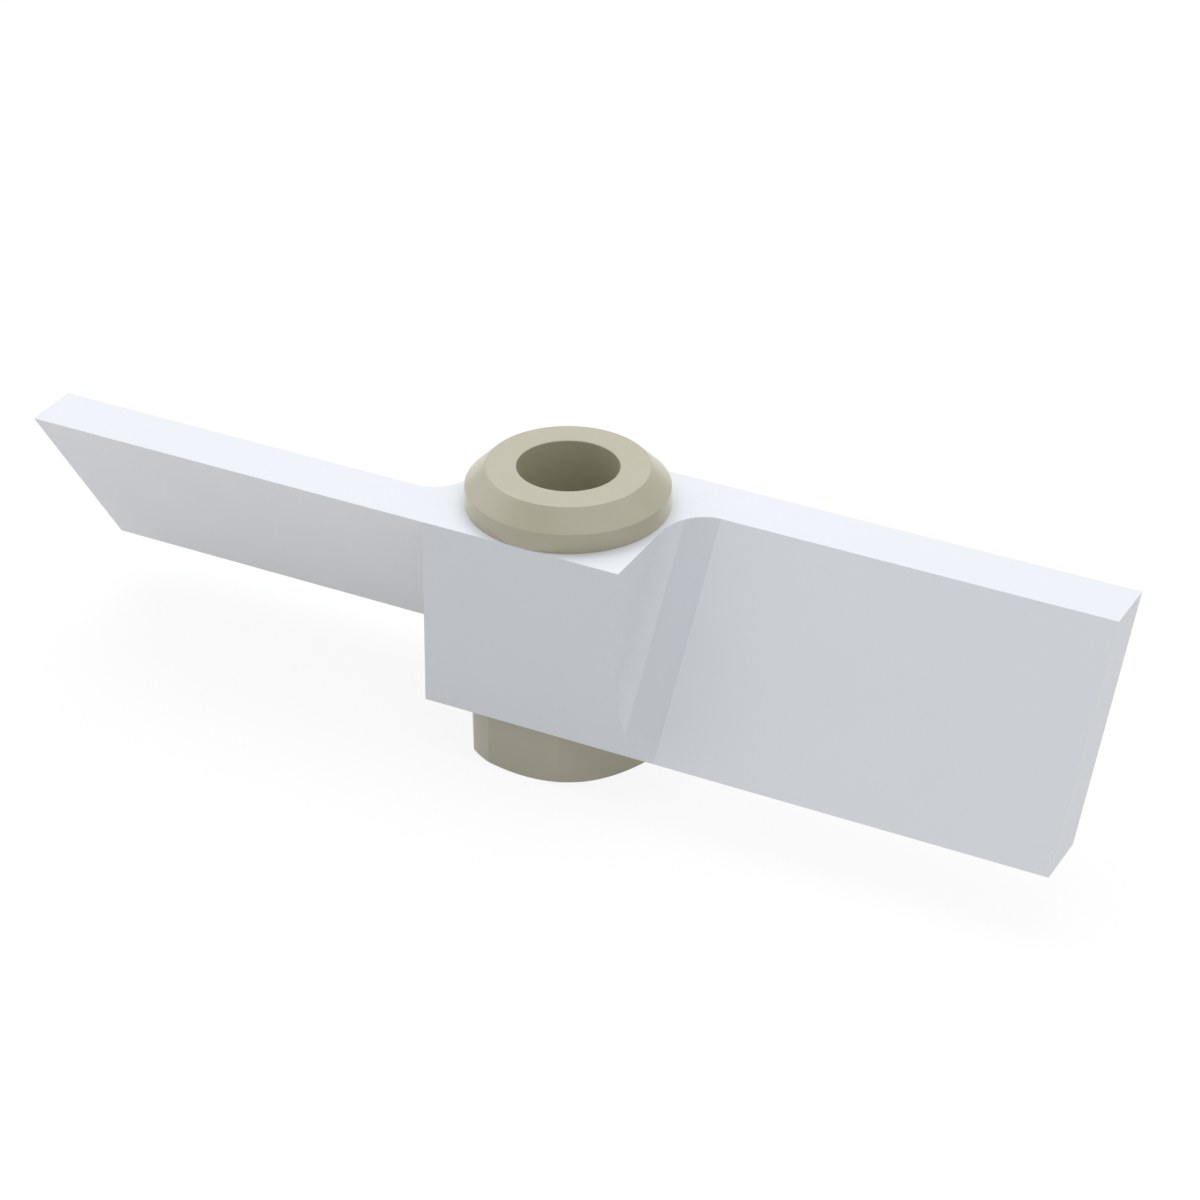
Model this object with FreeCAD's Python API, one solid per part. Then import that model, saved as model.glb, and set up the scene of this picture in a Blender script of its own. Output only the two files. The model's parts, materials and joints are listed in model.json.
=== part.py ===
import FreeCAD, Part

import math
import os

# Pitched two-blade paddle stirrer for a round stirrer shaft, in three machined pieces.
# blade_body: one bar of white fluoropolymer, with a square hub and two blades pitched opposite ways.
# collet_bush: a turned bush that drops through the hub from above. Its collar seats on the hub's top
#   face, and its slotted lower end is split into fingers that grip the shaft.
# collet_nut: a hexagon nut on the bush's lower end. It draws the collar down on the hub, and its inner
#   cone closes the fingers on the shaft.
# Millimetres. +Z is up along the shaft, +X runs along the blades, and the origin is the centre of the
# nut's underside, which the stirrer stands on.

# Blade body
blade_span = 110.0  # tip to tip, along X
bar_width = 20.0  # the bar's size along Y
bar_height = 20.0  # the bar's size along Z
blade_thickness = 5.0  # square to the blade's two pitched faces
hub_length = 21.0  # the hub's size along X
root_radius = 4.0  # the cutter's radius, left in the upper pocket where blade meets hub

# Bush
shaft_diameter = 10.0  # the stirrer shaft that the bore takes
shank_wall = 2.0  # from the bore to the thread on the shank
collar_band_height = 2.0  # the collar's straight lower part
collar_chamfer = 2.0  # the 45 degree cone above it, as wide as it is high
finger_slot_width = 1.0  # two saw cuts at right angles leave four fingers
finger_slot_length = 13.0  # from the fingers' tips upwards
finger_taper_length = 1.5  # the cone on the fingers' tips, along Z
finger_taper_angle = 30.0  # that cone's slope, in degrees from the shaft's axis

# Nut
nut_height = 6.2
nut_wall = 2.3  # from the thread to a flat
nut_corner_trim = 0.7  # turned off each of the hexagon's corners, in radius
nut_face_inset = 0.1  # the lower face's circle lies this far inside the flats
nut_chamfer_angle = 30.0  # the slope of the corners' lower chamfer, in degrees from level
nut_lip_height = 0.8  # the floor under the fingers' tips
nut_lead_in = 0.4  # chamfer at the mouth of the thread

# Clearances
shank_clearance = 0.1  # radial, shank in the hub's bore
thread_clearance = 0.1  # radial, shank in the nut's thread, also between the two cones
tip_clearance = 0.2  # from the fingers' tips to the nut's lip
lip_clearance = 0.5  # radial, shaft in the hole through the nut's lip

# Sizes that follow from those above
shaft_radius = shaft_diameter / 2.0
shank_radius = shaft_radius + shank_wall
collar_radius = bar_width / 2.0  # flush with the hub's front and back
taper_depth = finger_taper_length * math.tan(math.radians(finger_taper_angle))
thread_radius = shank_radius + thread_clearance
flat_radius = thread_radius + nut_wall
corner_radius = flat_radius / math.cos(math.pi / 6.0) - nut_corner_trim

hub_bottom = nut_height
hub_top = hub_bottom + bar_height
collar_top = hub_top + collar_band_height + collar_chamfer
finger_tip = nut_lip_height + tip_clearance

# The pitch that runs each blade from the bar's lower edge on one side to its upper edge on the other
bar_diagonal = math.hypot(bar_width, bar_height)
blade_pitch = math.degrees(math.acos(blade_thickness / bar_diagonal) - math.atan2(bar_height, bar_width))

z_axis = FreeCAD.Vector(0, 0, 1)
x_axis = FreeCAD.Vector(1, 0, 0)


def outline_solid(points, sweep):
    """A closed outline of straight edges through the points, swept along the vector."""
    return Part.Face(Part.makePolygon(points + points[:1])).extrude(sweep)


def turned(profile):
    """A closed profile of (radius, height) points, turned once round the shaft's axis."""
    points = [FreeCAD.Vector(radius, 0, height) for radius, height in profile]
    face = Part.Face(Part.makePolygon(points + points[:1]))
    return face.revolve(FreeCAD.Vector(0, 0, 0), z_axis, 360.0)


def pocket_cutter(front, radius):
    """What is milled away on one side of the +X blade: the front or the back of its pitched plane.

    The cutter travels along the pitch, so it is a prism that stands on end and is then tipped to the
    blade's pitch. Where it has a radius, the inner corner keeps that radius all along the cut.
    """
    side = -1.0 if front else 1.0
    hub_end = hub_length / 2.0
    reach = blade_span + bar_diagonal
    face = side * blade_thickness / 2.0
    far = side * bar_diagonal
    corners = [
        FreeCAD.Vector(hub_end, face, -bar_diagonal),
        FreeCAD.Vector(reach, face, -bar_diagonal),
        FreeCAD.Vector(reach, far, -bar_diagonal),
        FreeCAD.Vector(hub_end, far, -bar_diagonal),
    ]
    cutter = outline_solid(corners, z_axis * (2.0 * bar_diagonal))
    if radius > 0:
        root = [edge for edge in cutter.Edges if is_root(edge, hub_end, face)]
        cutter = cutter.makeFillet(radius, root)
    cutter.rotate(FreeCAD.Vector(0, 0, 0), x_axis, -blade_pitch)
    cutter.translate(z_axis * (hub_bottom + bar_height / 2.0))
    return cutter


def is_root(edge, x, y):
    """True for the upright edge of a cutter that stands at this x and y."""
    centre = edge.CenterOfMass
    return abs(centre.x - x) < 1e-6 and abs(centre.y - y) < 1e-6 and abs(centre.z) < 1e-6


def make_blade_body():
    """The bar, milled away above and below each blade, with a plain bore through the hub."""
    bar = Part.makeBox(
        blade_span, bar_width, bar_height,
        FreeCAD.Vector(-blade_span / 2.0, -bar_width / 2.0, hub_bottom),
    )
    cutters = []
    for front, radius in ((True, root_radius), (False, 0.0)):
        for turn in (0.0, 180.0):
            cutter = pocket_cutter(front, radius)
            cutter.rotate(FreeCAD.Vector(0, 0, 0), z_axis, turn)
            cutters.append(cutter)
    bore = Part.makeCylinder(
        shank_radius + shank_clearance, bar_height, FreeCAD.Vector(0, 0, hub_bottom), z_axis,
    )
    return bar.cut(cutters + [bore])


def make_collet_bush():
    """The turned bush, with its collar on the hub and its lower end sawn into four fingers."""
    bush = turned([
        (shaft_radius, finger_tip),
        (shank_radius - taper_depth, finger_tip),
        (shank_radius, finger_tip + finger_taper_length),
        (shank_radius, hub_top),
        (collar_radius, hub_top),
        (collar_radius, hub_top + collar_band_height),
        (collar_radius - collar_chamfer, collar_top),
        (shaft_radius, collar_top),
    ])
    saw_cut = Part.makeBox(
        2.0 * collar_radius, finger_slot_width, finger_slot_length,
        FreeCAD.Vector(-collar_radius, -finger_slot_width / 2.0, finger_tip),
    )
    cuts = []
    for turn in (45.0, 135.0):
        cut = saw_cut.copy()
        cut.rotate(FreeCAD.Vector(0, 0, 0), z_axis, turn)
        cuts.append(cut)
    return bush.cut(cuts)


def make_collet_nut():
    """The hexagon nut, with its corners turned and chamfered and its inside cut to the fingers."""
    chamfer_height = (corner_radius - flat_radius + nut_face_inset) * math.tan(math.radians(nut_chamfer_angle))
    blank = turned([
        (0, 0),
        (flat_radius - nut_face_inset, 0),
        (corner_radius, chamfer_height),
        (corner_radius, nut_height),
        (0, nut_height),
    ])
    full_corner = flat_radius / math.cos(math.pi / 6.0)
    corners = []
    for step in range(6):
        angle = step * math.pi / 3.0
        corners.append(FreeCAD.Vector(full_corner * math.cos(angle), full_corner * math.sin(angle), 0))
    hexagon = outline_solid(corners, z_axis * nut_height)
    inside = turned([
        (0, 0),
        (shaft_radius + lip_clearance, 0),
        (shaft_radius + lip_clearance, nut_lip_height),
        (thread_radius - taper_depth, nut_lip_height),
        (thread_radius - taper_depth, finger_tip),
        (thread_radius, finger_tip + finger_taper_length),
        (thread_radius, nut_height - nut_lead_in),
        (thread_radius + nut_lead_in, nut_height),
        (0, nut_height),
    ])
    return blank.common(hexagon).cut(inside)


pieces = {
    "blade_body": make_blade_body(),
    "collet_bush": make_collet_bush(),
    "collet_nut": make_collet_nut(),
}

os.makedirs("parts", exist_ok=True)
for name, shape in pieces.items():
    solids = shape.Solids
    print(name, "solids", len(solids), "faces", len(shape.Faces), "valid", shape.isValid(),
          "volume", round(shape.Volume, 2))
    shape.exportStep("parts/" + name + ".step")
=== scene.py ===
"""Looks, studio and camera for a pitched two-blade paddle stirrer.

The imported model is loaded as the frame, and everything here is in metres in that frame: +X along the
blades, +Z up the shaft, the origin at the centre of the nut's underside. The blade body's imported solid
has the right shape, so it only gets its finish. The collet bush and its nut are modelled here in place
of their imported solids, with their edge breaks, saw cuts and thread.
"""

import json
import logging
import math
from collections.abc import Callable
from dataclasses import dataclass
from enum import Enum

import bpy
from mathutils import Matrix, Vector

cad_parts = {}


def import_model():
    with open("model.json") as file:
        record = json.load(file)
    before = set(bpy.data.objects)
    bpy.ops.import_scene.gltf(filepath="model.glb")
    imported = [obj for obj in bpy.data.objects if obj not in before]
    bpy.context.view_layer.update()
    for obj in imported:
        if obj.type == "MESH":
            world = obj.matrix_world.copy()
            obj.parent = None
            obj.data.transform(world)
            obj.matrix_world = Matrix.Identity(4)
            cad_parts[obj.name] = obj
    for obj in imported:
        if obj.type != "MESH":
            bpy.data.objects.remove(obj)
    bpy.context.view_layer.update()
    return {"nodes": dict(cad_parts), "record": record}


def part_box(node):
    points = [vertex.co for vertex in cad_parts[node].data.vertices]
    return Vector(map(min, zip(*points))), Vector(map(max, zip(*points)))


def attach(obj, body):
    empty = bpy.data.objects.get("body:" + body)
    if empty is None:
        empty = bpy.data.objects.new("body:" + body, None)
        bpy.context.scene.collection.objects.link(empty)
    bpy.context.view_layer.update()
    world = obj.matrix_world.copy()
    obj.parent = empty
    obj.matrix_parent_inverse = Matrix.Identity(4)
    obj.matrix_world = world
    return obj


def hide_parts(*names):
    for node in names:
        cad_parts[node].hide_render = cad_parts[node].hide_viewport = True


LOG = logging.getLogger("paddle_stirrer")
MM = 0.001
ROOT_BODY = "root"
BODY_NODE = "blade_body"
BUSH_NODE = "collet_bush"
NUT_NODE = "collet_nut"
# An edge that turns by more than this stays crisp.
SHADING_ANGLE = math.radians(8.0)
# Points nearer than this count as one.
MERGE_DISTANCE = 0.0005 * MM

# A Mix node has several sockets of one name, so they go by number: for plain values and for colours.
MIX_FACTOR = 0
MIX_VALUE_A = 2
MIX_VALUE_B = 3
MIX_VALUE_OUT = 0
MIX_COLOUR_A = 6
MIX_COLOUR_B = 7
MIX_COLOUR_OUT = 2
# The Wave Texture multiplies its coordinate by its scale and by this before it takes the sine.
WAVE_FACTOR = 20.0

Colour = tuple[float, float, float, float]


def linear(hex_colour: str) -> Colour:
    """Turns an sRGB hex colour into linear red, green, blue and alpha, by the sRGB standard's curve.

    Args:
        hex_colour: six hex digits after a hash sign.

    Returns:
        The linear colour with an alpha of 1.
    """
    channels = []
    for start in (1, 3, 5):
        value = int(hex_colour[start:start + 2], 16) / 255.0
        channels.append(value / 12.92 if value <= 0.04045 else ((value + 0.055) / 1.055) ** 2.4)
    return (channels[0], channels[1], channels[2], 1.0)


def add_node(tree: bpy.types.NodeTree, kind: str, settings: dict | None = None,
             links: dict | None = None) -> bpy.types.Node:
    """Adds one shader node with its settings and its incoming links.

    Args:
        tree: the node tree that gets the node.
        kind: Blender's name of the node type.
        settings: node properties by name, and input values by socket name or number.
        links: the output socket that feeds each input, by socket name or number.

    Returns:
        The new node.
    """
    node = tree.nodes.new(kind)
    for name, value in (settings or {}).items():
        if isinstance(name, int) or name in node.inputs:
            node.inputs[name].default_value = value
        else:
            setattr(node, name, value)
    for name, source in (links or {}).items():
        tree.links.new(source, node.inputs[name])
    return node


def new_material(name: str) -> tuple[bpy.types.Material, bpy.types.NodeTree]:
    """Makes a material with an empty node tree.

    Args:
        name: the material's name.

    Returns:
        The material and its node tree.
    """
    material = bpy.data.materials.new(name)
    material.use_nodes = True
    material.node_tree.nodes.clear()
    return material, material.node_tree


def band_scale(spacing: float) -> float:
    """The Wave Texture's scale that gives bands this far apart, in metres."""
    return 2.0 * math.pi / (WAVE_FACTOR * spacing)


def surface_direction(tree: bpy.types.NodeTree) -> bpy.types.Node:
    """Adds what tells which way the surface faces, as separate X, Y and Z outputs."""
    surface = add_node(tree, "ShaderNodeNewGeometry")
    return add_node(tree, "ShaderNodeSeparateXYZ", links={0: surface.outputs["Normal"]})


@dataclass(frozen=True, kw_only=True)
class MachinedPlastic:
    """What the stirrer's two plastics share.

    The bar or rod is slightly cloudy in colour and gloss, and the cutter leaves shallow feed marks, which
    catch the light as faint lines.
    """

    name: str
    colour: str
    cloud_colour: str
    cloud_size: float
    cloud_detail: float
    cloud_roughness: float
    ior: float
    roughness: float = 0.38
    roughness_spread: float
    feed_spacing: float
    feed_depth: float
    feed_wander: float = 0.0
    wander_detail: float = 2.0
    wander_scale: float = 0.4

    def material(self) -> bpy.types.Material:
        """Builds the node tree: clouds, feed marks and the shader.

        Returns:
            The finished material.
        """
        material, tree = new_material(self.name)
        place = add_node(tree, "ShaderNodeTexCoord")
        spot = add_node(tree, "ShaderNodeSeparateXYZ", links={0: place.outputs["Object"]})
        clouds = add_node(tree, "ShaderNodeTexNoise", {
            "Scale": 1.0 / self.cloud_size, "Detail": self.cloud_detail, "Roughness": self.cloud_roughness,
        }, {"Vector": place.outputs["Object"]})
        gloss = add_node(tree, "ShaderNodeMapRange", {
            "To Min": self.roughness - self.roughness_spread,
            "To Max": self.roughness + self.roughness_spread,
        }, {"Value": clouds.outputs["Fac"]})
        travel = add_node(tree, "ShaderNodeCombineXYZ", links={"X": self.feed_travel(tree, spot)})
        marks = add_node(tree, "ShaderNodeTexWave", {
            "wave_type": "BANDS", "bands_direction": "X", "wave_profile": "SIN",
            "Scale": band_scale(self.feed_spacing), "Distortion": self.feed_wander,
            "Detail": self.wander_detail, "Detail Scale": self.wander_scale,
        }, {"Vector": travel.outputs[0]})
        bump = add_node(tree, "ShaderNodeBump", {"Strength": 1.0, "Distance": self.feed_depth}, {
            "Height": marks.outputs["Fac"],
        })
        shader = add_node(tree, "ShaderNodeBsdfPrincipled", {"IOR": self.ior, **self.lustre()}, {
            "Base Color": self.tone(tree, clouds.outputs["Fac"]),
            "Roughness": gloss.outputs[0], "Normal": bump.outputs[0],
        })
        add_node(tree, "ShaderNodeOutputMaterial", links={"Surface": shader.outputs[0]})
        return material

    def tone(self, tree: bpy.types.NodeTree, clouds: bpy.types.NodeSocket) -> bpy.types.NodeSocket:
        """Mixes the plastic's two tones by its clouds.

        Args:
            tree: the material's node tree.
            clouds: how cloudy the plastic is at the spot, from 0 to 1.

        Returns:
            The socket that carries the colour.
        """
        mixed = add_node(tree, "ShaderNodeMix", {
            "data_type": "RGBA", MIX_COLOUR_A: linear(self.colour), MIX_COLOUR_B: linear(self.cloud_colour),
        }, {MIX_FACTOR: clouds})
        return mixed.outputs[MIX_COLOUR_OUT]

    def lustre(self) -> dict:
        """The shader's values besides its IOR, by socket name. A plain plastic has none."""
        return {}

    def feed_travel(self, tree: bpy.types.NodeTree, spot: bpy.types.Node) -> bpy.types.NodeSocket:
        """How far the cutter has fed at the spot. Each plastic gives its own way.

        Args:
            tree: the material's node tree.
            spot: the place on the piece, as separate X, Y and Z.

        Returns:
            The socket that carries the travel, in metres.
        """
        raise NotImplementedError


@dataclass(frozen=True, kw_only=True)
class MilledFluoropolymer(MachinedPlastic):
    """Virgin PTFE, side-milled from one bar.

    PTFE is waxy and white, its gloss is weak because its index of refraction is low, and sintering
    leaves it slightly cloudy. The end mill leaves fine feed marks: along the bar on its outer faces, and
    square to the bar on the two pitched faces of each blade. In the radius between hub and blade the
    lower half is painted a tone darker: painted shade that stands in for the shading of the radius.
    """

    name: str = "milled_white_ptfe"
    colour: str = "#E4E5E6"
    cloud_colour: str = "#E1E2E4"
    # Painted shade: the darker colour of the root radius's lower half.
    painted_shade_colour: str = "#DADBDD"
    cloud_size: float = 9.0 * MM
    cloud_detail: float = 3.0
    cloud_roughness: float = 0.5
    ior: float = 1.36
    roughness_spread: float = 0.05
    # The real feed marks are 0.1 to 0.2 mm apart. They are drawn 0.7 mm apart, so that they show.
    feed_spacing: float = 0.7 * MM
    feed_depth: float = 0.0035 * MM
    feed_wander: float = 1.5
    # A face is pitched where the Y and Z of its direction multiply to more than this.
    pitched_lean: float = 0.2
    # The strip of painted shade lies where the X of the root radius's direction is between these two.
    painted_shade_top: float = 0.74
    painted_shade_foot: float = 0.02

    def tone(self, tree: bpy.types.NodeTree, clouds: bpy.types.NodeSocket) -> bpy.types.NodeSocket:
        """Lays the strip of painted shade over the clouded colour.

        The root radius is the only outer surface that turns from facing along X to facing across it, and
        its lower half faces less along X than across it.

        Args:
            tree: the material's node tree.
            clouds: how cloudy the plastic is at the spot, from 0 to 1.

        Returns:
            The socket that carries the colour.
        """
        facing = surface_direction(tree)
        end_on = add_node(tree, "ShaderNodeMath", {"operation": "ABSOLUTE"}, {0: facing.outputs["X"]})
        past_wall = add_node(tree, "ShaderNodeMath", {"operation": "LESS_THAN", 1: self.painted_shade_top}, {
            0: end_on.outputs[0],
        })
        past_blade = add_node(tree, "ShaderNodeMath", {"operation": "GREATER_THAN", 1: self.painted_shade_foot}, {
            0: end_on.outputs[0],
        })
        # Painted shade: a darker colour where the root radius's lower half lies.
        painted_shade = add_node(tree, "ShaderNodeMath", {"operation": "MULTIPLY"}, {
            0: past_wall.outputs[0], 1: past_blade.outputs[0],
        })
        mixed = add_node(tree, "ShaderNodeMix", {
            "data_type": "RGBA", MIX_COLOUR_B: linear(self.painted_shade_colour),
        }, {MIX_FACTOR: painted_shade.outputs[0], MIX_COLOUR_A: super().tone(tree, clouds)})
        return mixed.outputs[MIX_COLOUR_OUT]

    def feed_travel(self, tree: bpy.types.NodeTree, spot: bpy.types.Node) -> bpy.types.NodeSocket:
        """Counts the marks by X on the pitched faces, and by Y and Z together elsewhere.

        The pitched faces are the only ones that lean in both Y and Z.

        Args:
            tree: the material's node tree.
            spot: the place on the piece, as separate X, Y and Z.

        Returns:
            The socket that carries the travel, in metres.
        """
        facing = surface_direction(tree)
        lean = add_node(tree, "ShaderNodeMath", {"operation": "MULTIPLY"}, {
            0: facing.outputs["Y"], 1: facing.outputs["Z"],
        })
        lean_size = add_node(tree, "ShaderNodeMath", {"operation": "ABSOLUTE"}, {0: lean.outputs[0]})
        pitched = add_node(tree, "ShaderNodeMath", {"operation": "GREATER_THAN", 1: self.pitched_lean}, {
            0: lean_size.outputs[0],
        })
        across = add_node(tree, "ShaderNodeMath", {"operation": "ADD"}, {
            0: spot.outputs["Y"], 1: spot.outputs["Z"],
        })
        travel = add_node(tree, "ShaderNodeMix", {"data_type": "FLOAT"}, {
            MIX_FACTOR: pitched.outputs[0], MIX_VALUE_A: across.outputs[0],
            MIX_VALUE_B: spot.outputs["X"],
        })
        return travel.outputs[MIX_VALUE_OUT]


class Lay(Enum):
    """The way in which a surface of the collet was machined, which lays its tool marks."""

    TURNED = "turned"
    MILLED = "milled"
    REAMED = "reamed_painted_light"


@dataclass(frozen=True, kw_only=True)
class MachinedPolyketone(MachinedPlastic):
    """Natural PEEK, turned from rod, with its flats milled and its shaft bore finished with a reamer.

    Natural PEEK is an opaque grey beige. Its high index of refraction and a sharp tool give it a satin
    gloss that brightens towards the rim of every round, and the tool's trailing edge burnishes the tops
    of its marks, which adds a narrower glint. Burrs too fine to see scatter light where a surface is
    seen at a slant, so the rims turn pale too. A turned surface carries fine rings, a milled flat
    carries fine upright lines, and the rod's own grain shows as faint clouds. A reamer scrapes the bore
    smooth, with hardly a mark or a burr, and the bore is painted a tone paler, as painted light down its
    wall. The nut is painted a tone darker than the bush, as painted shade where it sits low under the
    hub.
    """

    lay: Lay
    colour: str = "#B4AD94"
    cloud_colour: str = "#B0A990"
    cloud_size: float = 3.0 * MM
    cloud_detail: float = 4.0
    cloud_roughness: float = 0.55
    ior: float = 1.65
    roughness_spread: float = 0.04
    burnish: float = 0.3
    burnish_roughness: float = 0.12
    burr: float = 0.6
    burr_roughness: float = 0.35
    burr_colour: str = "#FFF4DD"
    # The real feed is 0.05 to 0.1 mm a turn. It is drawn 0.45 mm, so that the rings show.
    feed_spacing: float = 0.45 * MM
    feed_depth: float = 0.0030 * MM
    # Rings are counted by radius where the Z of the surface's direction is more than this.
    faced_slope: float = 0.4

    def lustre(self) -> dict:
        """The burnished glint and the burrs' scatter, by socket name."""
        return {
            "Coat Weight": self.burnish, "Coat Roughness": self.burnish_roughness,
            "Sheen Weight": self.burr, "Sheen Roughness": self.burr_roughness,
            "Sheen Tint": linear(self.burr_colour),
        }

    def feed_travel(self, tree: bpy.types.NodeTree, spot: bpy.types.Node) -> bpy.types.NodeSocket:
        """Counts the marks across the flats, up the bore, and along a turned outline.

        A turned outline is followed by radius on its faces and cones, and by height on its round walls.

        Args:
            tree: the material's node tree.
            spot: the place on the piece, as separate X, Y and Z.

        Returns:
            The socket that carries the travel, in metres.
        """
        if self.lay is Lay.REAMED:
            return spot.outputs["Z"]
        if self.lay is Lay.MILLED:
            across = add_node(tree, "ShaderNodeMath", {"operation": "ADD"}, {
                0: spot.outputs["X"], 1: spot.outputs["Y"],
            })
            return across.outputs[0]
        level = add_node(tree, "ShaderNodeCombineXYZ", links={
            "X": spot.outputs["X"], "Y": spot.outputs["Y"],
        })
        radius = add_node(tree, "ShaderNodeVectorMath", {"operation": "LENGTH"}, {0: level.outputs[0]})
        facing = surface_direction(tree)
        upright = add_node(tree, "ShaderNodeMath", {"operation": "ABSOLUTE"}, {0: facing.outputs["Z"]})
        faced = add_node(tree, "ShaderNodeMath", {"operation": "GREATER_THAN", 1: self.faced_slope}, {
            0: upright.outputs[0],
        })
        travel = add_node(tree, "ShaderNodeMix", {"data_type": "FLOAT"}, {
            MIX_FACTOR: faced.outputs[0], MIX_VALUE_A: spot.outputs["Z"],
            MIX_VALUE_B: radius.outputs["Value"],
        })
        return travel.outputs[MIX_VALUE_OUT]


def edit_all(piece: bpy.types.Object) -> None:
    """Selects one piece alone and opens it in edit mode with its whole mesh selected.

    Args:
        piece: the piece to work on.
    """
    bpy.ops.object.select_all(action="DESELECT")
    piece.select_set(True)
    bpy.context.view_layer.objects.active = piece
    bpy.ops.object.mode_set(mode="EDIT")
    bpy.ops.mesh.select_all(action="SELECT")


def seal(piece: bpy.types.Object) -> None:
    """Merges the mesh's doubles and points every face outwards.

    Args:
        piece: the piece to work on.
    """
    edit_all(piece)
    bpy.ops.mesh.remove_doubles(threshold=MERGE_DISTANCE)
    bpy.ops.mesh.normals_make_consistent(inside=False)
    bpy.ops.object.mode_set(mode="OBJECT")


def dress(piece: bpy.types.Object, finish: bpy.types.Material, second: bpy.types.Material,
          has_second: Callable[[Vector, Vector], bool]) -> None:
    """Gives a modelled piece its finish, and a second one to some of its faces.

    Args:
        piece: the modelled piece.
        finish: the finish of most of its faces.
        second: the finish of the others.
        has_second: whether a face is one of the others, by its centre and its outward direction.
    """
    piece.data.materials.clear()
    piece.data.materials.append(finish)
    piece.data.materials.append(second)
    for face in piece.data.polygons:
        face.material_index = int(has_second(face.center, face.normal))


def seat(piece: bpy.types.Object, node: str) -> None:
    """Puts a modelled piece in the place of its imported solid.

    Args:
        piece: the finished piece.
        node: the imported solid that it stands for.
    """
    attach(piece, ROOT_BODY)
    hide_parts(node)


@dataclass(frozen=True)
class Corner:
    """One corner of a turned profile, as the tool left it or with its edge broken."""

    radius: float
    height: float
    broken: bool = False


@dataclass(frozen=True)
class Thread:
    """A fine right-hand thread cut into a round wall.

    Its crest and its root are both flat, and each takes the same share of the pitch.
    """

    wall_radius: float
    start: float
    end: float
    pitch: float = 1.0 * MM
    depth: float = 0.55 * MM
    flat_share: float = 0.25
    rings_a_turn: int = 12
    run_out: float = 0.35 * MM

    def heights(self) -> list[float]:
        """Spaces the rings that the wall needs for the thread's form.

        Returns:
            The rings' heights, from the thread's start to its end.
        """
        count = round((self.end - self.start) / self.pitch * self.rings_a_turn)
        step = (self.end - self.start) / count
        return [self.start + step * number for number in range(count + 1)]

    def radius_at(self, angle: float, height: float) -> float:
        """The wall's radius where the thread passes this angle and height.

        Args:
            angle: round the shaft's axis, in radians.
            height: along the shaft's axis.

        Returns:
            The radius, from the crest down to the thread's full depth.
        """
        turn = (height / self.pitch - angle / math.tau) % 1.0
        off_crest = abs(2.0 * turn - 1.0)
        flank = (off_crest - self.flat_share) / (1.0 - 2.0 * self.flat_share)
        ends = min(height - self.start, self.end - height) / self.run_out
        return self.wall_radius - self.depth * min(1.0, max(0.0, flank)) * min(1.0, max(0.0, ends))

    def cut(self, piece: bpy.types.Object) -> None:
        """Moves the wall's rings in to the thread's form.

        Args:
            piece: a turned piece whose wall has a ring at each of the heights.
        """
        for vertex in piece.data.vertices:
            radius = math.hypot(vertex.co.x, vertex.co.y)
            on_wall = abs(radius - self.wall_radius) < MERGE_DISTANCE
            if on_wall and self.start < vertex.co.z < self.end:
                angle = math.atan2(vertex.co.y, vertex.co.x)
                grown = self.radius_at(angle, vertex.co.z) / radius
                vertex.co.x *= grown
                vertex.co.y *= grown


@dataclass(frozen=True)
class Lathe:
    """Turns a closed profile into a round piece."""

    steps: int = 160
    edge_break: float = 0.05 * MM

    def outline(self, corners: list[Corner]) -> list[Vector]:
        """The profile's points, with two points in place of each broken corner.

        Args:
            corners: the profile's corners in order, closed from the last to the first.

        Returns:
            The points in the XZ plane.
        """
        points = []
        for number, corner in enumerate(corners):
            here = Vector((corner.radius, 0.0, corner.height))
            if not corner.broken:
                points.append(here)
                continue
            for other in (corners[number - 1], corners[(number + 1) % len(corners)]):
                way = Vector((other.radius, 0.0, other.height)) - here
                points.append(here + way.normalized() * self.edge_break)
        return points

    def turn(self, name: str, corners: list[Corner]) -> bpy.types.Object:
        """Draws the profile from one vertex, and spins it once round the shaft's axis.

        The one vertex is a small plane merged to its centre.

        Args:
            name: the piece's name.
            corners: the profile's corners in order.

        Returns:
            The turned piece, closed and with its faces outwards.
        """
        points = self.outline(corners)
        bpy.ops.object.select_all(action="DESELECT")
        bpy.ops.mesh.primitive_plane_add(size=1.0 * MM, location=(0.0, 0.0, 0.0))
        piece = bpy.context.active_object
        piece.name = name
        piece.data.name = name
        edit_all(piece)
        bpy.ops.mesh.merge(type="CENTER")
        bpy.ops.transform.translate(value=points[0])
        for before, point in zip(points, points[1:]):
            bpy.ops.mesh.extrude_region_move(TRANSFORM_OT_translate={"value": point - before})
        bpy.ops.object.mode_set(mode="OBJECT")
        for vertex in piece.data.vertices:
            vertex.select = vertex.index in (0, len(points) - 1)
        bpy.ops.object.mode_set(mode="EDIT")
        bpy.ops.mesh.edge_face_add()
        bpy.ops.mesh.select_all(action="SELECT")
        bpy.ops.mesh.spin(
            steps=self.steps, angle=math.tau, center=(0.0, 0.0, 0.0), axis=(0.0, 0.0, 1.0),
        )
        bpy.ops.object.mode_set(mode="OBJECT")
        seal(piece)
        return piece


@dataclass
class BladeBody:
    """The square hub with its two pitched blades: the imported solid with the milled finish."""

    node: bpy.types.Object

    def build(self, milled: bpy.types.Material) -> bpy.types.Object:
        """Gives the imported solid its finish.

        Args:
            milled: the finish of the whole bar.

        Returns:
            The dressed solid.
        """
        self.node.data.materials.clear()
        self.node.data.materials.append(milled)
        return self.node


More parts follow.
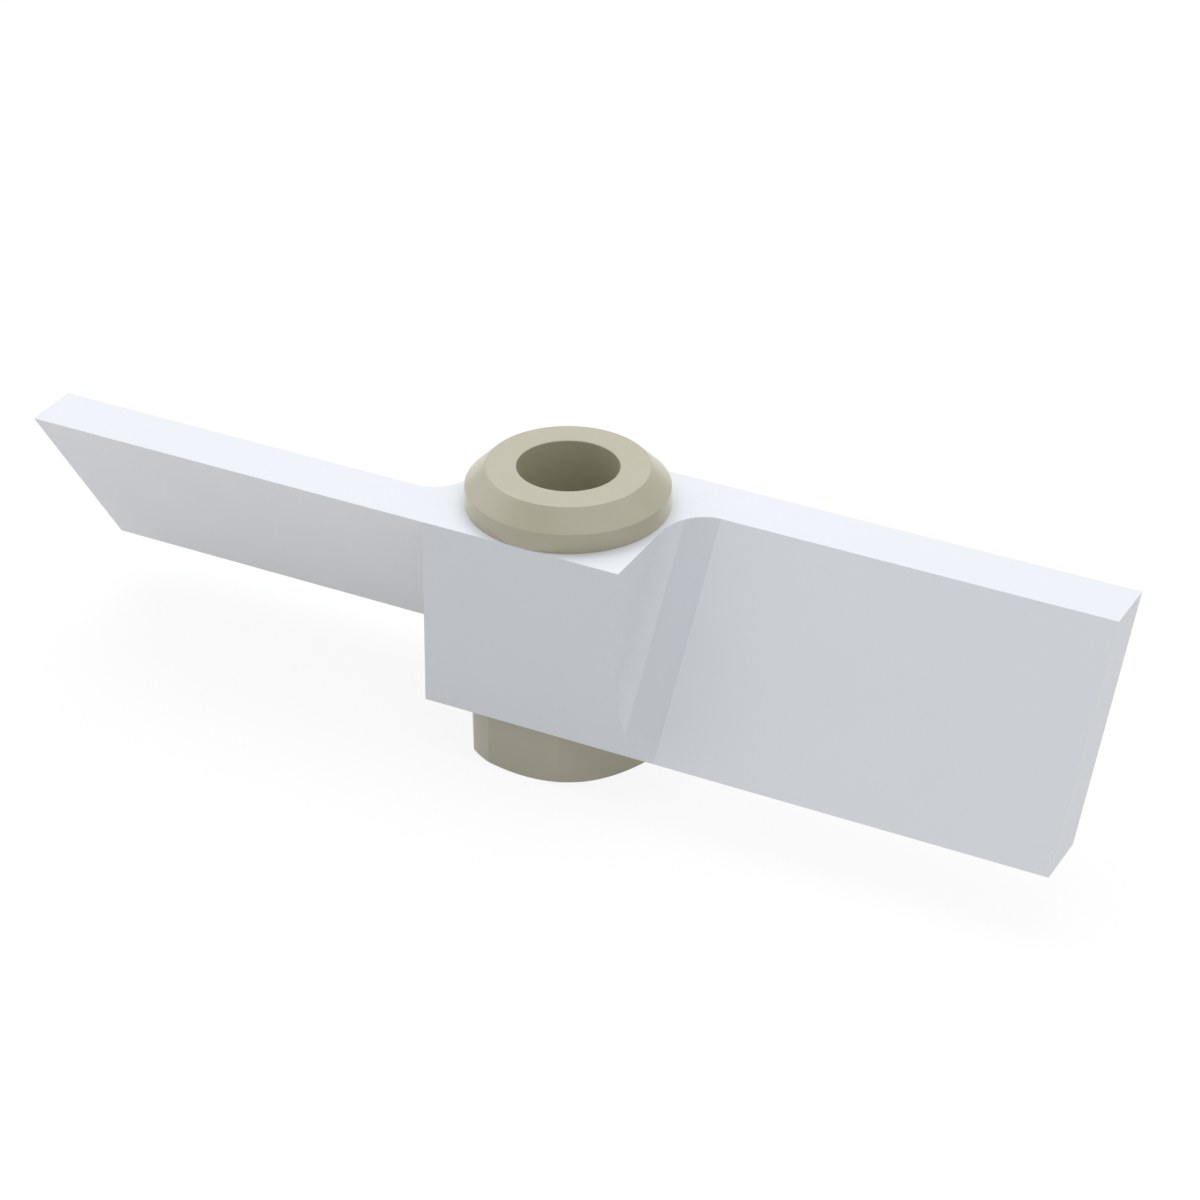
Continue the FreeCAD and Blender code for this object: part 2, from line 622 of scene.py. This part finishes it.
@dataclass
class ColletFit:
    """The sizes that the bush and its nut share, so that the nut closes the fingers on the shaft."""

    shaft_radius: float
    shank_wall: float = 2.0 * MM
    taper_length: float = 1.5 * MM
    taper_angle: float = math.radians(30.0)
    thread_start_gap: float = 0.2 * MM

    def __post_init__(self) -> None:
        """Takes the place of the fingers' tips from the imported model, and works out what follows."""
        self.finger_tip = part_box(BUSH_NODE)[0].z
        self.shank_radius = self.shaft_radius + self.shank_wall
        self.taper_depth = self.taper_length * math.tan(self.taper_angle)
        self.taper_top = self.finger_tip + self.taper_length
        self.thread_start = self.taper_top + self.thread_start_gap


@dataclass
class ColletBush:
    """The turned bush: a collar on the hub, a shank through it, and four fingers that grip the shaft."""

    fit: ColletFit
    collar_chamfer: float = 2.0 * MM
    saw_width: float = 1.0 * MM
    saw_depth: float = 13.0 * MM
    saw_run_in: float = 1.0 * MM
    # How far the direction of a face may lean out of level for the bore's upright wall.
    wall_lean: float = 0.1
    lathe: Lathe = Lathe()

    def __post_init__(self) -> None:
        """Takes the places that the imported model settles."""
        collar_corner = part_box(BUSH_NODE)[1]
        self.collar_top = collar_corner.z
        self.collar_radius = collar_corner.y
        self.hub_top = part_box(BODY_NODE)[1].z
        self.hub_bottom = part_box(BODY_NODE)[0].z

    def build(self, turned: bpy.types.Material, reamed_painted_light: bpy.types.Material) -> bpy.types.Object:
        """Turns, threads and saws the bush, and seats it.

        Args:
            turned: the finish of the outside and the faces.
            reamed_painted_light: the finish of the shaft bore, painted a tone paler as painted light.

        Returns:
            The finished piece.
        """
        thread = Thread(self.fit.shank_radius, self.fit.thread_start, self.hub_bottom)
        bush = self.lathe.turn("turned_collet_bush", self.profile(thread))
        thread.cut(bush)
        for eighth in (1, 3):
            self.saw(bush, math.tau * eighth / 8.0)
        seal(bush)
        bpy.ops.object.shade_smooth_by_angle(angle=SHADING_ANGLE)
        dress(bush, turned, reamed_painted_light, self.in_bore)
        seat(bush, BUSH_NODE)
        return bush

    def profile(self, thread: Thread) -> list[Corner]:
        """The bush's section, from the fingers' tips up the shank, over the collar and down the bore.

        Args:
            thread: the thread on the shank's lower end.

        Returns:
            The section's corners in order.
        """
        fit = self.fit
        return [
            Corner(fit.shaft_radius, fit.finger_tip, broken=True),
            Corner(fit.shank_radius - fit.taper_depth, fit.finger_tip, broken=True),
            Corner(fit.shank_radius, fit.taper_top),
            *(Corner(fit.shank_radius, height) for height in thread.heights()),
            Corner(fit.shank_radius, self.hub_top),
            Corner(self.collar_radius, self.hub_top),
            Corner(self.collar_radius, self.collar_top - self.collar_chamfer, broken=True),
            Corner(self.collar_radius - self.collar_chamfer, self.collar_top, broken=True),
            Corner(fit.shaft_radius, self.collar_top, broken=True),
        ]

    def in_bore(self, point: Vector, normal: Vector) -> bool:
        """Whether a face lies on the shaft bore's wall.

        Args:
            point: the face's centre.
            normal: its outward direction.

        Returns:
            True if it is as near the axis as the wall, faces the axis and stands upright.
        """
        near = math.hypot(point.x, point.y) < self.fit.shaft_radius + MERGE_DISTANCE
        inwards = normal.x * point.x + normal.y * point.y < 0.0
        return near and inwards and abs(normal.z) < self.wall_lean

    def saw(self, bush: bpy.types.Object, turn: float) -> None:
        """Saws once across the shank from below, which cuts two of the slots between the fingers.

        Args:
            bush: the turned bush.
            turn: the cut's direction round the shaft's axis, in radians.
        """
        height = self.saw_depth + self.saw_run_in
        middle = self.fit.finger_tip - self.saw_run_in + height / 2.0
        bpy.ops.object.select_all(action="DESELECT")
        bpy.ops.mesh.primitive_cube_add(size=1.0, location=(0.0, 0.0, 0.0))
        blade = bpy.context.active_object
        edit_all(blade)
        bpy.ops.transform.resize(value=(2.0 * self.collar_radius, self.saw_width, height))
        bpy.ops.transform.translate(value=(0.0, 0.0, middle))
        bpy.ops.transform.rotate(value=turn, orient_axis="Z", center_override=(0.0, 0.0, 0.0))
        bpy.ops.object.mode_set(mode="OBJECT")
        cut = bush.modifiers.new("saw_cut", "BOOLEAN")
        cut.operation = "DIFFERENCE"
        cut.solver = "EXACT"
        cut.object = blade
        bpy.ops.object.select_all(action="DESELECT")
        bpy.context.view_layer.objects.active = bush
        bpy.ops.object.modifier_apply(modifier=cut.name)
        bpy.data.objects.remove(blade)


@dataclass
class ColletNut:
    """The hexagon nut: turned corners, six milled flats, a thread, and the cone that closes the fingers."""

    fit: ColletFit
    thread_clearance: float = 0.1 * MM
    flat_radius: float = 9.4 * MM
    corner_trim: float = 0.7 * MM
    face_inset: float = 0.1 * MM
    face_chamfer_angle: float = math.radians(30.0)
    lip_height: float = 0.8 * MM
    lip_clearance: float = 0.5 * MM
    lead_in: float = 0.4 * MM
    flats: int = 6
    # How near a face lies to a flat, and how closely it faces the same way, to be part of it.
    flat_band: float = 0.01 * MM
    flat_likeness: float = 0.999
    lathe: Lathe = Lathe()

    def __post_init__(self) -> None:
        """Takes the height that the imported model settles, and works out what follows."""
        self.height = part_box(NUT_NODE)[1].z
        self.thread_radius = self.fit.shank_radius + self.thread_clearance
        self.corner_radius = self.flat_radius / math.cos(math.pi / self.flats) - self.corner_trim

    def build(self, turned: bpy.types.Material, milled: bpy.types.Material) -> bpy.types.Object:
        """Turns the blank, threads it, mills its flats, and seats it.

        Args:
            turned: the finish of the rounds.
            milled: the finish of the flats.

        Returns:
            The finished piece.
        """
        thread = Thread(self.thread_radius, self.fit.thread_start, self.height - self.lead_in)
        nut = self.lathe.turn("milled_collet_nut", self.profile(thread))
        thread.cut(nut)
        self.mill_flats(nut)
        seal(nut)
        bpy.ops.object.shade_smooth_by_angle(angle=SHADING_ANGLE)
        dress(nut, turned, milled, self.on_flat)
        seat(nut, NUT_NODE)
        return nut

    def profile(self, thread: Thread) -> list[Corner]:
        """The blank's section, from the hole in the lip outwards, up the outside and down the thread.

        Args:
            thread: the thread inside.

        Returns:
            The section's corners in order.
        """
        fit = self.fit
        hole_radius = fit.shaft_radius + self.lip_clearance
        seat_radius = self.thread_radius - fit.taper_depth
        face_radius = self.flat_radius - self.face_inset
        face_chamfer = (self.corner_radius - face_radius) * math.tan(self.face_chamfer_angle)
        return [
            Corner(hole_radius, 0.0, broken=True),
            Corner(face_radius, 0.0),
            Corner(self.corner_radius, face_chamfer),
            Corner(self.corner_radius, self.height, broken=True),
            Corner(self.thread_radius + self.lead_in, self.height),
            *(Corner(self.thread_radius, height) for height in reversed(thread.heights())),
            Corner(self.thread_radius, fit.taper_top),
            Corner(seat_radius, fit.finger_tip),
            Corner(seat_radius, self.lip_height),
            Corner(hole_radius, self.lip_height, broken=True),
        ]

    def flat_directions(self) -> list[Vector]:
        """The outward directions of the flats. One faces straight to the front."""
        turns = [math.tau * number / self.flats - math.pi / 2.0 for number in range(self.flats)]
        return [Vector((math.cos(turn), math.sin(turn), 0.0)) for turn in turns]

    def on_flat(self, point: Vector, normal: Vector) -> bool:
        """Whether a face lies on one of the milled flats.

        Args:
            point: the face's centre.
            normal: its outward direction.

        Returns:
            True if both agree with a flat.
        """
        for direction in self.flat_directions():
            level = abs(point.dot(direction) - self.flat_radius) < self.flat_band
            if level and normal.dot(direction) > self.flat_likeness:
                return True
        return False

    def mill_flats(self, nut: bpy.types.Object) -> None:
        """Cuts the round blank down to its six flats.

        Args:
            nut: the turned blank.
        """
        edit_all(nut)
        for direction in self.flat_directions():
            bpy.ops.mesh.select_all(action="SELECT")
            bpy.ops.mesh.bisect(
                plane_co=direction * self.flat_radius, plane_no=direction,
                use_fill=True, clear_outer=True, threshold=MERGE_DISTANCE,
            )
        bpy.ops.object.mode_set(mode="OBJECT")


@dataclass(frozen=True, kw_only=True)
class SoftLight:
    """One round soft light, aimed at the part."""

    name: str
    azimuth_deg: float
    elevation_deg: float
    strength: float
    size: float
    distance: float = 0.9

    def hang(self, colour: tuple[float, float, float]) -> None:
        """Hangs the light, with the power that lights a white surface facing it to the strength.

        Args:
            colour: the light's linear colour.
        """
        azimuth = math.radians(self.azimuth_deg)
        elevation = math.radians(self.elevation_deg)
        direction = Vector((
            math.cos(azimuth) * math.cos(elevation),
            math.sin(azimuth) * math.cos(elevation),
            math.sin(elevation),
        ))
        data = bpy.data.lights.new(self.name, "AREA")
        data.shape = "DISK"
        data.size = self.size
        data.color = colour
        data.energy = self.strength * math.pi ** 2 * (self.distance ** 2 + (self.size / 2.0) ** 2)
        light = bpy.data.objects.new(self.name, data)
        bpy.context.scene.collection.objects.link(light)
        light.location = direction * self.distance
        light.rotation_mode = "QUATERNION"
        light.rotation_quaternion = direction.to_track_quat("Z", "Y")
        light.visible_camera = False


@dataclass(frozen=True)
class FloorTone:
    """How bright the floor is: the share of its light that it sends back, and its own glow."""

    albedo: float
    glow: float


@dataclass(frozen=True)
class PaleFloor:
    """Matt white board under soft light.

    The photograph's floor looks nearly white but throws little light up, so it has one tone for what is
    seen and another for what it bounces. It is clear from below, to show the underside.
    """

    name: str = "pale_floor"
    seen: FloorTone = FloorTone(albedo=0.12, glow=0.88)
    bounced: FloorTone = FloorTone(albedo=0.5, glow=0.24)

    def material(self) -> bpy.types.Material:
        """Builds the node tree: the two tones, the board's shader and its clear underside.

        Returns:
            The finished material.
        """
        material, tree = new_material(self.name)
        path = add_node(tree, "ShaderNodeLightPath")
        seen = add_node(tree, "ShaderNodeMath", {"operation": "MAXIMUM"}, {
            0: path.outputs["Is Camera Ray"], 1: path.outputs["Is Glossy Ray"],
        })
        albedo = add_node(tree, "ShaderNodeMapRange", {
            "To Min": self.bounced.albedo, "To Max": self.seen.albedo,
        }, {"Value": seen.outputs[0]})
        strength = add_node(tree, "ShaderNodeMapRange", {
            "To Min": self.bounced.glow, "To Max": self.seen.glow,
        }, {"Value": seen.outputs[0]})
        board = add_node(tree, "ShaderNodeBsdfDiffuse", links={"Color": albedo.outputs[0]})
        glow = add_node(tree, "ShaderNodeEmission", {"Color": (1.0,) * 4}, {"Strength": strength.outputs[0]})
        top = add_node(tree, "ShaderNodeAddShader", links={0: board.outputs[0], 1: glow.outputs[0]})
        clear = add_node(tree, "ShaderNodeBsdfTransparent")
        side = add_node(tree, "ShaderNodeNewGeometry")
        mix = add_node(tree, "ShaderNodeMixShader", links={
            0: side.outputs["Backfacing"], 1: top.outputs[0], 2: clear.outputs[0],
        })
        add_node(tree, "ShaderNodeOutputMaterial", links={"Surface": mix.outputs[0]})
        return material


@dataclass
class Studio:
    """The pale floor, the soft light and the camera."""

    # The camera, solved from the bar's corners and the collar's rounds in the photograph.
    azimuth_deg: float = 26.940
    elevation_deg: float = 30.967
    roll_deg: float = 0.492
    distance: float = 384.22 * MM
    target: tuple[float, float, float] = (3.537 * MM, 0.0, 16.152 * MM)
    lens_mm: float = 118.34
    sensor_mm: float = 36.0
    nearest_seen: float = 0.01
    farthest_seen: float = 20.0

    # The floor lies a hair under the nut, so that the two faces don't fight.
    floor_half: float = 4.0
    floor_drop: float = 0.05 * MM

    # Daylight tubes, a little cooler than the camera's white, with a pale room round them.
    light_colour: tuple[float, float, float] = (0.972, 1.0, 1.045)
    sky: float = 0.50
    lights: tuple[SoftLight, ...] = (
        SoftLight(name="key", azimuth_deg=120.0, elevation_deg=64.0, strength=0.45, size=1.0),
        SoftLight(name="left_fill", azimuth_deg=180.0, elevation_deg=38.0, strength=0.125, size=0.8),
        SoftLight(name="right_fill", azimuth_deg=0.0, elevation_deg=64.0, strength=0.189, size=1.4),
    )

    def build(self) -> None:
        """Makes the camera, the lights, the surroundings and the floor."""
        self.add_camera()
        for light in self.lights:
            light.hang(self.light_colour)
        self.add_surroundings()
        self.add_floor()

    def add_camera(self) -> None:
        """Stands the camera where the photograph was taken from."""
        azimuth = math.radians(self.azimuth_deg)
        elevation = math.radians(self.elevation_deg)
        roll = math.radians(self.roll_deg)
        back = Vector((
            math.sin(azimuth) * math.cos(elevation),
            -math.cos(azimuth) * math.cos(elevation),
            math.sin(elevation),
        ))
        level = Vector((math.cos(azimuth), math.sin(azimuth), 0.0))
        upright = back.cross(level)
        right = math.cos(roll) * level + math.sin(roll) * upright
        up = math.cos(roll) * upright - math.sin(roll) * level
        data = bpy.data.cameras.new("camera")
        data.lens = self.lens_mm
        data.sensor_width = self.sensor_mm
        data.clip_start = self.nearest_seen
        data.clip_end = self.farthest_seen
        camera = bpy.data.objects.new("camera", data)
        bpy.context.scene.collection.objects.link(camera)
        turn = Matrix((right, up, back)).transposed().to_4x4()
        camera.matrix_world = Matrix.Translation(Vector(self.target) + back * self.distance) @ turn
        bpy.context.scene.camera = camera

    def add_surroundings(self) -> None:
        """Fills the studio with even light, and shows white where the camera looks past the floor."""
        world = bpy.data.worlds.new("studio")
        bpy.context.scene.world = world
        world.use_nodes = True
        tree = world.node_tree
        tree.nodes.clear()
        light = add_node(tree, "ShaderNodeBackground", {
            "Color": (*self.light_colour, 1.0), "Strength": self.sky,
        })
        white = add_node(tree, "ShaderNodeBackground", {"Color": (1.0,) * 4, "Strength": 1.0})
        path = add_node(tree, "ShaderNodeLightPath")
        mix = add_node(tree, "ShaderNodeMixShader", links={
            0: path.outputs["Is Camera Ray"], 1: light.outputs[0], 2: white.outputs[0],
        })
        add_node(tree, "ShaderNodeOutputWorld", links={"Surface": mix.outputs[0]})

    def add_floor(self) -> None:
        """Lays the pale floor just under the part."""
        bpy.ops.object.select_all(action="DESELECT")
        bpy.ops.mesh.primitive_plane_add(size=2.0 * self.floor_half, location=(0.0, 0.0, -self.floor_drop))
        floor = bpy.context.active_object
        floor.name = "floor"
        bpy.ops.object.transform_apply(location=True)
        floor.data.materials.append(PaleFloor().material())


def bore_radius(record: dict) -> float:
    """The shaft bore's radius in metres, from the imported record."""
    bore = next(mount for mount in record["mounts"] if mount["kind"] == "bore")
    return bore["dims"]["r_mm"] * MM


def triangle_count(piece: bpy.types.Object) -> int:
    """The number of triangles that the piece's faces make."""
    return sum(len(face.vertices) - 2 for face in piece.data.polygons)


def main() -> None:
    """Builds the studio and the pieces in order, and reports them."""
    logging.basicConfig(level=logging.INFO, format="%(name)s: %(message)s")
    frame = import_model()
    bpy.context.scene.view_settings.view_transform = "Standard"
    studio = Studio()
    studio.build()
    LOG.info("studio with %d soft lights", len(studio.lights))

    turned = MachinedPolyketone(name="turned_natural_peek", lay=Lay.TURNED)
    # The bore's colours are a tone paler: painted light down the bore's wall. Its smooth, fine finish is the
    # reamer's.
    reamed_painted_light = MachinedPolyketone(
        name="reamed_peek_painted_light", lay=Lay.REAMED, colour="#BBB69C", cloud_colour="#B7B298",
        roughness=0.32, burr=0.0, feed_depth=0.0012 * MM,
    )
    # The nut's colours are a tone darker than the bush's: painted shade where it sits low under the hub.
    nut_painted_shade = {"colour": "#ADA690", "cloud_colour": "#A9A28C"}
    nut_turned = MachinedPolyketone(name="turned_peek_painted_shade", lay=Lay.TURNED, **nut_painted_shade)
    nut_milled = MachinedPolyketone(name="milled_peek_painted_shade", lay=Lay.MILLED, **nut_painted_shade)

    fit = ColletFit(bore_radius(frame["record"]))
    pieces = (
        BladeBody(frame["nodes"][BODY_NODE]).build(MilledFluoropolymer().material()),
        ColletBush(fit).build(turned.material(), reamed_painted_light.material()),
        ColletNut(fit).build(nut_turned.material(), nut_milled.material()),
    )
    for piece in pieces:
        LOG.info("%s with %d triangles", piece.name, triangle_count(piece))


if __name__ == "__main__":
    main()
